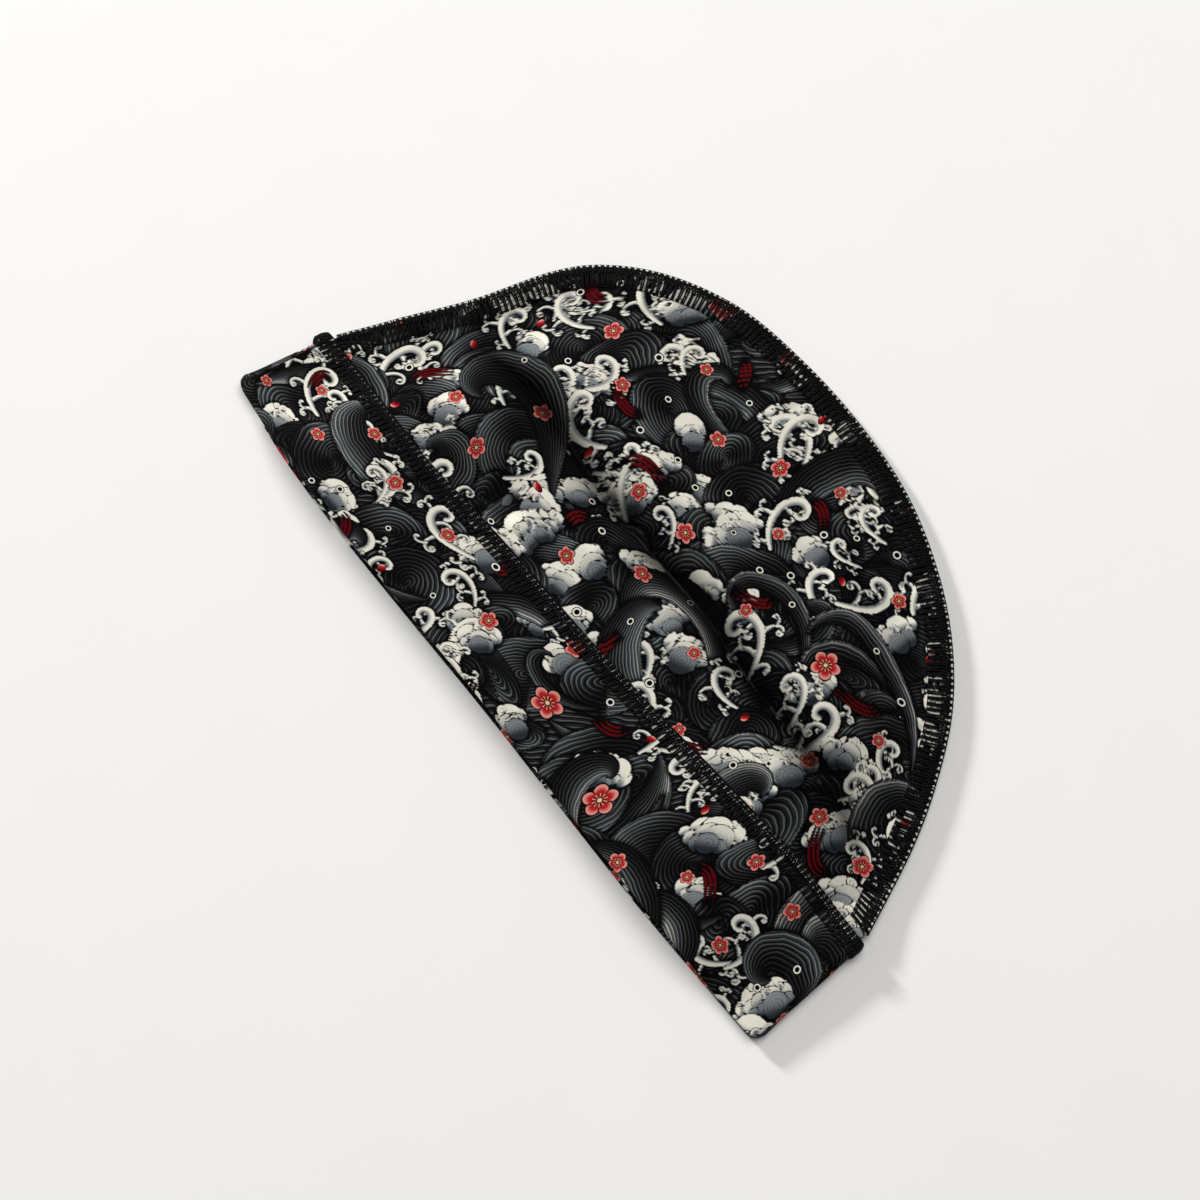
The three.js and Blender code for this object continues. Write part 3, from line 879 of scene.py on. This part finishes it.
def scattered(random, low, high, apart, tries=9000, taken=()):
    """Random places that keep apart from one another, and clear of the taken ones."""
    found = np.array([(*place, room) for place, room in taken]).reshape(-1, 3)
    fresh = []
    for place in random.uniform(low, high, (tries, 2)):
        if (np.hypot(found[:, 0] - place[0], found[:, 1] - place[1]) > apart + found[:, 2]).all():
            found = np.vstack([found, [(*place, 0.0)]])
            fresh.append(place)
    return fresh


def make_print(cloth_points, seed):
    pattern = Print(cloth_points)
    random = np.random.default_rng(seed)
    uniform = random.uniform
    low, high = pattern.bent.min(0) - 8, pattern.bent.max(0) + 8
    mounds = scattered(random, low, high, apart=9.0, tries=2600)
    mounds.sort(key=lambda place: -place[1] + uniform(-5, 5))
    for place in mounds:
        radius = uniform(8, 19)
        choice = uniform()
        if choice > MOUND_ABOVE:
            pattern.mound(
                place, radius, uniform(0.45, 0.95), uniform(-0.9, 0.9),
                random.choice([0, 1, -1, 2, -2, 3]), uniform(1.1, 1.7),
                uniform(0, 6.3), uniform(0.5, 1.0))
        if choice < RIBBON_BELOW:
            line = curl_line(
                place + radius * 0.5 * uniform(-1, 1, 2), uniform(0, TURN),
                uniform(34, 75), random.choice([-1, 1]), uniform(0.4, 1.0), 34)
            t = np.linspace(0, 1, len(line))
            swell = np.sin(math.pi * np.clip(t * 0.94 + 0.03, 0, 1)) ** 1.1
            widths = uniform(2.0, 7.5) * swell + 0.1
            pattern.stroke(
                line, widths, "lines", uniform(0.4, 0.62), random.choice([-1, 1]),
                uniform(1.0, 1.5), uniform(0.2, 2.2))
        elif choice < CLOUD_BELOW:
            middle = math.pi / 2 + uniform(-0.7, 0.7)
            half = uniform(0.5, 1.0)
            cloud_bank(pattern, uniform, place, radius * 0.85, middle + half, middle - half)
        elif choice < SPRAY_BELOW:
            turn = math.pi / 2 + uniform(-1.2, 1.2)
            start = place + (radius - 1) * np.array([math.cos(turn), math.sin(turn)])
            hand = random.choice([-1, 1])
            spray(pattern, uniform, start, turn - hand * 0.9, uniform(7.5, 14), hand)
    for place in scattered(random, low, high, apart=36):
        line = curl_line(
            place, uniform(0, 6.3), uniform(9, 16), random.choice([-1, 1]), 0.3, 10)
        aside = stack(-np.gradient(line[:, 1]), np.gradient(line[:, 0]))
        aside /= np.hypot(*aside.T)[:, None]
        t = np.linspace(0, 1, len(line))
        for shift in (-1.35, 0.0, 1.35):
            widths = 0.5 * np.sin(math.pi * (0.08 + 0.86 * t)) + 0.05
            pattern.stroke(line + shift * aside, widths, "bloom", 0.6)
    taken = []
    for place in scattered(random, low, high, apart=19):
        radius = random.choice([2.3, 2.8, 3.3, 5.2], p=[0.3, 0.35, 0.27, 0.08])
        kind = FLOWER if uniform() < 0.78 else BUD
        pattern.mark(place, radius if kind == FLOWER else 1.7, uniform(0, 6.3), kind)
        taken.append((place, 1.35 * radius + 1.5))
    for place in scattered(random, low, high, apart=10.0, taken=taken):
        pattern.mark(place, uniform(0.95, 1.45), 0, RING)
    return pattern.values


# ---- The two panels ----
PANEL_INSET = 0.6
MARGIN = 0.8
# How far the painted shade along the crease reaches from it, and the shares of the crease's
# length over which it comes in and goes out
CREASE_SHADE_REACH = 5.0
CREASE_SHADE_IN = 0.1
CREASE_SHADE_OUT = 0.07


def panel_grid(columns, hidden_rows, shown_rows, hidden_back):
    """Plan points of a panel, columns from the brim to the seam. Its rows are close
    together from hidden_back below the cuff's edge upwards."""
    share = np.linspace(0, 1, columns)
    corner = CORNER_RISE / SEAM_LENGTH
    point, inward = seam_at(lerp(corner, 1 - corner, share))
    top = point + inward * PANEL_INSET
    x = lerp(END_RADIUS, CAP_WIDTH - END_RADIUS, share)
    bottom = stack(x, brim_y(x) + PANEL_START)
    at = np.full(columns, 0.3)
    for _ in range(8):
        at = cuff_edge(lerp(x, top[:, 0], at)) - hidden_back - bottom[:, 1]
        at = at / (top[:, 1] - bottom[:, 1])
    first = at[:, None] * np.arange(hidden_rows) / hidden_rows
    rest = lerp(at[:, None], 1, np.arange(shown_rows + 1) / shown_rows)
    shares = np.concatenate([first, rest], 1)
    return bottom[:, None] + (top - bottom)[:, None] * shares[..., None]


def panel(name, node, side, plan, each):
    """A panel with its fine face on the given side. Its other face has one row and column
    of the same points in every few, as many as each says."""
    columns, rows = plan.shape[:2]
    x, y = plan[..., 0], plan[..., 1]
    level = levels(x, y)[1 if side > 0 else 0]
    outer = stack(x, y, level + side * CLOTH / 2)
    inner = stack(x, y, level - side * CLOTH / 2)[::each, ::each]
    few_columns, few_rows = inner.shape[:2]
    start = columns * rows
    quads = np.vstack([
        grid_quads(columns, rows, flip=side < 0),
        grid_quads(few_columns, few_rows, start, flip=side > 0),
    ])
    fine = np.arange(start).reshape(columns, rows)
    coarse = start + np.arange(few_columns * few_rows).reshape(few_columns, few_rows)
    below = side < 0
    triangles = np.vstack([
        zip_lines(fine[:, 0], coarse[:, 0], flip=not below),
        zip_lines(fine[:, -1], coarse[:, -1], flip=below),
        zip_lines(fine[0], coarse[0], flip=below),
        zip_lines(fine[-1], coarse[-1], flip=not below),
    ])
    points = np.vstack([outer.reshape(-1, 3), inner.reshape(-1, 3)])
    return make_piece(name, points, quads, triangles, jersey, [node])


upper_plan = panel_grid(columns=397, hidden_rows=9, shown_rows=207, hidden_back=12)
lower_plan = panel_grid(columns=241, hidden_rows=12, shown_rows=108, hidden_back=4)
upper_panel = panel("upper_panel_cloth", "crown_panel_upper", 1, upper_plan, 3)
lower_panel = panel("lower_panel_cloth", "crown_panel_lower", -1, lower_plan, 2)
for piece, plan, each, side, seed in (
    (upper_panel, upper_plan, 3, 1, 3), (lower_panel, lower_plan, 2, -1, 5),
):
    on_face, on_back = plan.reshape(-1, 2), plan[::each, ::each].reshape(-1, 2)
    both = np.vstack([on_face, on_back])
    margin = (PANEL_INSET + MARGIN - to_path(rim, *both.T)[0]) / MARGIN + 0.5
    # Painted shade: how strongly the print is darkened along the furrow's crease, on the upper
    # panel only
    distance, share = to_path(furrow, *both.T)
    crease = np.exp(-((distance / CREASE_SHADE_REACH) ** 2))
    crease = crease * ramp(0, CREASE_SHADE_IN, share) * ramp(0, CREASE_SHADE_OUT, 1 - share)
    add_values(
        piece, reverse=np.repeat([0.0, 1.0], [len(on_face), len(on_back)]),
        margin=np.clip(margin, 0, 1), crease=crease * (side > 0),
        **make_print(both * (side, 1), seed))


# ---- The band round the brim ----
def band(place, y_of, out):
    """Points on a band round the flattened brim. place runs from 0 to 4: along the upper
    side, round the right end, back along the lower side and round the left end."""
    place, out = np.broadcast_arrays(np.asarray(place, float) % 4, np.asarray(out, float))
    leg = np.minimum(place.astype(int), 3)
    f = place - leg
    share = np.where(leg == 0, f, np.where(leg == 1, 1.0, np.where(leg == 2, 1 - f, 0.0)))
    y = y_of(share * CAP_WIDTH)
    x = lerp(left_end(y) + END_RADIUS, right_end(y) - END_RADIUS, share)
    low, high = levels(x, y)
    turn = math.pi * np.where(leg == 1, f, f + 1)
    radius = (high - low) / 2 + out
    round_end = (leg == 1) | (leg == 3)
    across = np.where(round_end, radius * np.sin(turn), 0)
    middle = (low + high) / 2
    flat = np.where(leg == 0, high + out, low - out)
    z = np.where(round_end, middle + radius * np.cos(turn), flat)
    return stack(x + across, y, z)


FLAT_LENGTH = CAP_WIDTH - 2 * END_RADIUS
END_LENGTH = 17.0
LEG_LENGTH = 42
RAW_EDGE = 0.55
RAW_BULGE = 0.3 / 40
CORNER_ROUND = 4.5
CORNER_REACH = 14
MARGIN_ROWS = 3.5
# How many on the upper side, round the right end, on the lower side and round the left end
STATIONS = (500, 16, 200, 16)
FOLD_POINTS = 9
LEG_POINTS = 80
INNER_POINTS = 8
stations = np.concatenate([
    leg + np.arange(count) / count for leg, count in enumerate(STATIONS)])


def cuff_section():
    """Points round the cuff's cloth: kind 0 is on a fold, with its radius and angle, and 1
    on a leg, with its share of the leg. Each row is kind, value, angle or share, out."""
    rows = []
    for i in range(FOLD_POINTS):
        angle = math.pi * (i / (FOLD_POINTS - 1) - 0.5)
        rows.append((0, FOLD_RADIUS, angle, FOLD_LEVEL + FOLD_RADIUS * math.sin(angle)))
    for i in range(1, LEG_POINTS + 1):
        rows.append((1, 0, i / LEG_POINTS, CUFF_OUTSIDE))
    rows.append((1, 0, 1 + RAW_BULGE, CUFF_OUTSIDE - CLOTH / 2))
    for i in range(INNER_POINTS, 0, -1):
        rows.append((1, 0, i / INNER_POINTS, CUFF_INSIDE))
    inner = CLEARANCE / 2
    for i in range(FOLD_POINTS - 1, -1, -2):
        angle = math.pi * (i / (FOLD_POINTS - 1) - 0.5)
        rows.append((0, inner, angle, FOLD_LEVEL + inner * math.sin(angle)))
    return np.array(rows)


section = cuff_section()


def section_y(x):
    kind, radius, value = section[:, :3].T
    brim = brim_y(x)
    fold = brim + FOLD_RADIUS - radius * np.cos(np.where(kind == 0, value, 0))
    leg = lerp(brim + FOLD_RADIUS, cuff_edge(x) - RAW_EDGE, value)
    return np.where(kind == 0, fold, leg)


cuff_points = band(
    np.broadcast_to(stations[:, None], (len(stations), len(section))), section_y, section[:, 3])
x, y = cuff_points[..., 0], cuff_points[..., 1]
past = np.clip(np.minimum(x, CAP_WIDTH - x), 0, CORNER_ROUND)
bevel = CORNER_ROUND - np.sqrt(CORNER_ROUND ** 2 - (CORNER_ROUND - past) ** 2)
cuff_points[..., 1] += bevel * (1 - ramp(0, CORNER_REACH, y - brim_y(x)))
rows_round = len(section)
cuff_quads = grid_quads(len(stations), rows_round, wrap=True)
first = np.arange(len(stations)) * rows_round
after = np.roll(first, -1)
closing = stack(first + rows_round - 1, after + rows_round - 1, after, first)
cuff = make_piece(
    "cuff_cloth", cuff_points.reshape(-1, 3), np.vstack([cuff_quads, closing]), [], jersey,
    ["cuff_band"])

round_reach = np.interp(
    stations, np.arange(5), np.cumsum([0, FLAT_LENGTH, END_LENGTH, FLAT_LENGTH, END_LENGTH]))
kind, value, share = section[:, :3].T
up_reach = np.where(kind == 0, value * share, FOLD_RADIUS * math.pi / 2 + LEG_LENGTH * share)
cuff_plan = stack(round_reach[:, None], up_reach).reshape(-1, 2)
cuff_reverse = np.tile(np.arange(rows_round) > FOLD_POINTS + LEG_POINTS, len(stations))
cuff_margin = np.tile((kind == 1) & (share > 1 - MARGIN_ROWS / LEG_POINTS), len(stations))
add_values(cuff, reverse=cuff_reverse, margin=cuff_margin, **make_print(cuff_plan, 9))


# ---- Overlock ----
STITCH = 2.0
STRAND = 0.2
RUNG_STRAND = STRAND * 1.45
DENSE_STRAND = STRAND * 1.25
WRAP_STRAND = 0.27
WRAP_DEPTH = 1.7
WRAP_OVER = 0.42
WRAP_UNDER = 0.32
CUFF_WRAP_TURN = 0.72 * math.pi
SHAKE = 0.05
SEAM_START = 1.4
SEAM_DENSE = 3.8
CUFF_DENSE = 3.5
LIP = 1.6
LIP_FADE = 2.2
# start and slant of the crossing strands, in stitches
CROSSINGS = [(0.2, 0.55), (0.7, 0.55), (0.45, -0.55), (0.95, -0.55)]


def overlock(place, stitches, width, dense, seed):
    """Threads that lie on an overlocked edge, dense up to a distance from it. In
    place(along, back, out), which gives points, along counts stitches, back is the way in
    from the edge and out the height over the cloth."""
    k = np.arange(stitches)[:, None]
    random = np.random.default_rng(seed)
    shake = random.normal(0, SHAKE, (stitches, 8))[:, :, None]
    lift = random.uniform(0, 0.12, (stitches, 8))[:, :, None]
    parts = []

    def strands(along, back, out, radius):
        points = place(*np.broadcast_arrays(along, back, out))
        parts.append(tubes(points, radius, 5))

    # rungs: two strands side by side from the needle line to the dense zone
    t = np.linspace(0, 1, 6)[None, :]
    sink = 0.35 * np.exp(-((t / 0.09) ** 2))
    for number, aside in enumerate((-0.15, 0.15)):
        strands(
            k + 0.5 + 0.1 * np.sin(2.6 * t) + aside * (1 + 0.2 * t) + shake[:, number] * t,
            lerp(width - 0.1, dense - 0.4, t),
            0.34 + lift[:, number] + 0.14 * np.sin(math.pi * t) - sink,
            RUNG_STRAND,
        )
    # dense zone: strands that cross one another, twice a stitch
    t = np.linspace(0, 1, 5)[None, :]
    for number, (start, slant) in enumerate(CROSSINGS):
        strands(
            k + start + slant * t + shake[:, 2 + number],
            lerp(dense + 0.35 * (number % 2), 1.3, t),
            0.36 + lift[:, 2 + number] + 0.24 * np.sin(math.pi * t) * (1 if slant > 0 else 0.4),
            DENSE_STRAND,
        )
    # needle stitches along the inner line
    strands(k + 0.12 + 0.78 * t, width - 0.25 + 0 * t, 0.38 * np.sin(math.pi * t) ** 0.6, STRAND)
    return parts


def wraps(place, stitches, seed):
    """Threads that turn round the edge, three to a stitch, and two that run along it from
    one to the next. Specks of the raw edge show between them. place(along, turn) gives
    points, with turn from 0 on top to 1."""
    k = np.arange(stitches)[:, None]
    random = np.random.default_rng(seed)
    turn = np.linspace(0, 1, 8)[None, :]
    parts = []
    for aside in (0.16, 0.36, 0.52):
        shake = random.normal(0, SHAKE, (stitches, 1))
        along, turns = np.broadcast_arrays(k + aside + shake + 0.08 * turn, turn)
        parts.append(tubes(place(along, turns), WRAP_STRAND, 5))
    along = np.linspace(0, stitches - 0.4, stitches * 4)[None, :]
    for middle in (0.36, 0.56):
        waver = middle + 0.05 * np.sin(TURN * along + 1.2 * np.sin(along / 7))
        parts.append(tubes(place(along, waver), STRAND, 5))
    return parts


def thread_piece(name, parts, node):
    """One piece of many threads, each with its points, quads and triangles."""
    points, quads, triangles = zip(*parts)
    starts = np.cumsum([0] + [len(some) for some in points])
    return make_piece(
        name, np.vstack(points), np.vstack([q + start for q, start in zip(quads, starts)]),
        np.vstack([t + start for t, start in zip(triangles, starts)]), yarn,
        [node])


def seam_points(along, back, lift):
    """Points by the seam, at the height that lift gives for the middles of the panels."""
    share = np.clip((along * STITCH + SEAM_START) / SEAM_LENGTH, 0, 1)
    point, inward = seam_at(share)
    p = point + inward * back[..., None]
    low, high = levels(p[..., 0], p[..., 1])
    return stack(p[..., 0], p[..., 1], lift(low, high))


def seam_place(side):
    def place(along, back, out):
        return seam_points(along, back, lambda low, high: (
            high + CLOTH / 2 + out if side > 0 else low - CLOTH / 2 - out))
    return place


def seam_wrap(along, turn):
    top = (1 + np.cos(math.pi * turn)) / 2
    return seam_points(
        along, WRAP_STRAND + WRAP_DEPTH * (1 - np.sin(math.pi * turn)),
        lambda low, high: lerp(low - CLOTH / 2 - WRAP_UNDER, high + CLOTH / 2 + WRAP_OVER, top))


seam_stitches = int((SEAM_LENGTH - 2 * SEAM_START) / STITCH)
parts = wraps(seam_wrap, seam_stitches, 13)
for side, seed in ((1, 11), (-1, 12)):
    parts += overlock(seam_place(side), seam_stitches, SEAM_WIDTH, SEAM_DENSE, seed)
seam_threads = thread_piece("seam_threads", parts, "crown_seam_overlock")

LOOP_LENGTH = 2 * (FLAT_LENGTH + END_LENGTH)
cuff_stitches = int(LOOP_LENGTH / STITCH)


def cuff_place(along, back, out):
    """Points by the cuff's edge, all round the brim. At the left end, the edge stands out a
    little, as a lip."""
    reach = along * (LOOP_LENGTH / cuff_stitches)
    knots = np.cumsum([0, FLAT_LENGTH, END_LENGTH, FLAT_LENGTH, END_LENGTH, FLAT_LENGTH])
    place = np.interp(reach, knots, np.arange(6))
    points = band(place, lambda x: cuff_edge(x) - back, CUFF_OUTSIDE + out)
    lip = np.where(place > 3, np.sin(math.pi * np.clip(place - 3, 0, 1)), 0)
    fade = ramp(0, LIP_FADE, CUFF_STITCH_WIDTH + STRAND - back)
    points[..., 0] -= LIP * np.maximum(lip, 0) ** 0.6 * fade
    return points


def cuff_wrap(along, turn):
    angle = CUFF_WRAP_TURN * turn
    return cuff_place(
        along, WRAP_STRAND + WRAP_DEPTH * (1 - np.sin(angle)),
        lerp(CUFF_INSIDE - CUFF_OUTSIDE - 0.1, WRAP_OVER, (1 + np.cos(angle)) / 2))


parts = wraps(cuff_wrap, cuff_stitches, 23)
parts += overlock(cuff_place, cuff_stitches, CUFF_STITCH_WIDTH, CUFF_DENSE, 21)
cuff_threads = thread_piece("cuff_threads", parts, "cuff_overlock")

# ---- Areas of the cloth ----
MM2 = 1e-6
x, y = rim.T
panel_area = 0.5 * abs(np.sum(x * np.roll(y, -1) - y * np.roll(x, -1))) * MM2
across = np.linspace(0, CAP_WIDTH, 200)
cuff_area = 2 * CAP_WIDTH * float(np.mean(cuff_edge(across) - brim_y(across))) * MM2
